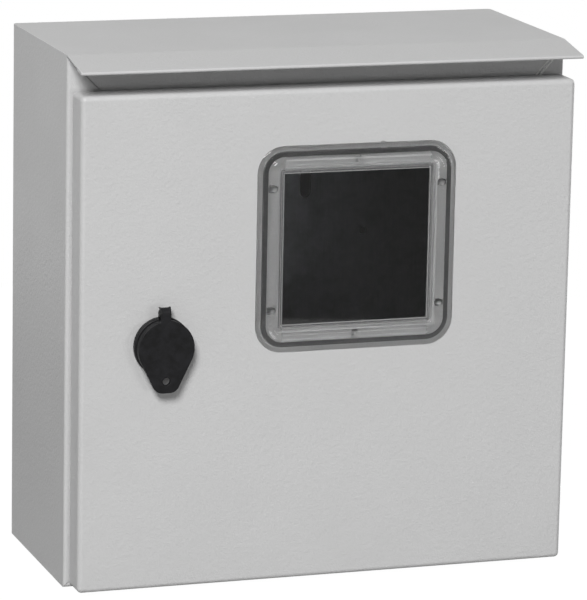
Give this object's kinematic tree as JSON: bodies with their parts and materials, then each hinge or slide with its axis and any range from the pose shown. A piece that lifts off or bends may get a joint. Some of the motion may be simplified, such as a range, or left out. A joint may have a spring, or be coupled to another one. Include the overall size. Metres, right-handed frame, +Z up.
{
  "type": "electric meter box",
  "caption": "Outdoor steel electricity meter cabinet with a rain visor, a hinged door with a clear window, and a quarter-turn lock under a hinged cap.",
  "frame": {"origin": "middle of the four wall holes, on the outer face of the back", "axes": "+Z up, the door faces -Y, +X to the right of someone facing the door"},
  "size_m": [0.3, 0.1499, 0.3115],
  "materials": {
    "grey_powder_coat": "light grey textured powder coat on 1 mm steel sheet",
    "zinc_sheet": "zinc-plated steel sheet",
    "zinc_fasteners": "bright zinc plating",
    "hinge_steel": "zinc-plated steel",
    "spring_steel": "phosphated spring steel",
    "lock_zinc": "satin chromed zinc casting",
    "black_rubber": "matt black rubber",
    "foam_seal": "dark closed-cell foam",
    "window_seal": "dark grey rubber cord",
    "black_plastic": "black moulded plastic, slightly worn",
    "clear_window": "clear moulded polycarbonate"
  },
  "bodies": {
    "cabinet": {"body_wrap": "grey_powder_coat", "top_plate": "grey_powder_coat", "bottom_plate": "grey_powder_coat", "rain_visor": "grey_powder_coat", "mounting_panel": "zinc_sheet", "panel_studs": "zinc_fasteners", "panel_washers": "zinc_fasteners", "panel_nuts": "zinc_fasteners", "cable_grommets": "black_rubber", "earth_stud": "zinc_fasteners", "earth_washer": "zinc_fasteners", "earth_nut": "zinc_fasteners", "hinge_brackets": "hinge_steel", "hinge_pins": "hinge_steel"},
    "door": {"hinge_leaves": "hinge_steel", "door_pan": "grey_powder_coat", "door_gasket": "foam_seal", "door_earth_stud": "zinc_fasteners", "door_earth_washer": "zinc_fasteners", "door_earth_nut": "zinc_fasteners", "window_lens": "clear_window", "window_gasket": "window_seal", "window_clips": "spring_steel", "lock_collar": "black_plastic", "lock_housing": "lock_zinc", "lock_washer": "zinc_fasteners", "lock_nut": "zinc_fasteners"},
    "latch": {"lock_barrel": "lock_zinc", "lock_cam": "zinc_sheet", "cam_washer": "zinc_fasteners", "cam_screw": "zinc_fasteners"},
    "cap": {"lock_cap": "black_plastic"}
  },
  "joints": [
    {"name": "door_hinge", "type": "hinge", "parent": "cabinet", "child": "door", "pos_m": [0.14417, -0.134, -0.0096], "axis": [0, 0, 1], "range_deg": [0, 120]},
    {"name": "lock_turn", "type": "hinge", "parent": "door", "child": "latch", "pos_m": [-0.0988, -0.13, -0.01], "axis": [0, 1, 0], "range_deg": [0, 90]},
    {"name": "cap_lift", "type": "hinge", "parent": "door", "child": "cap", "pos_m": [-0.0988, -0.1444, 0.0096], "axis": [-1, 0, 0], "range_deg": [0, 110]}
  ]
}
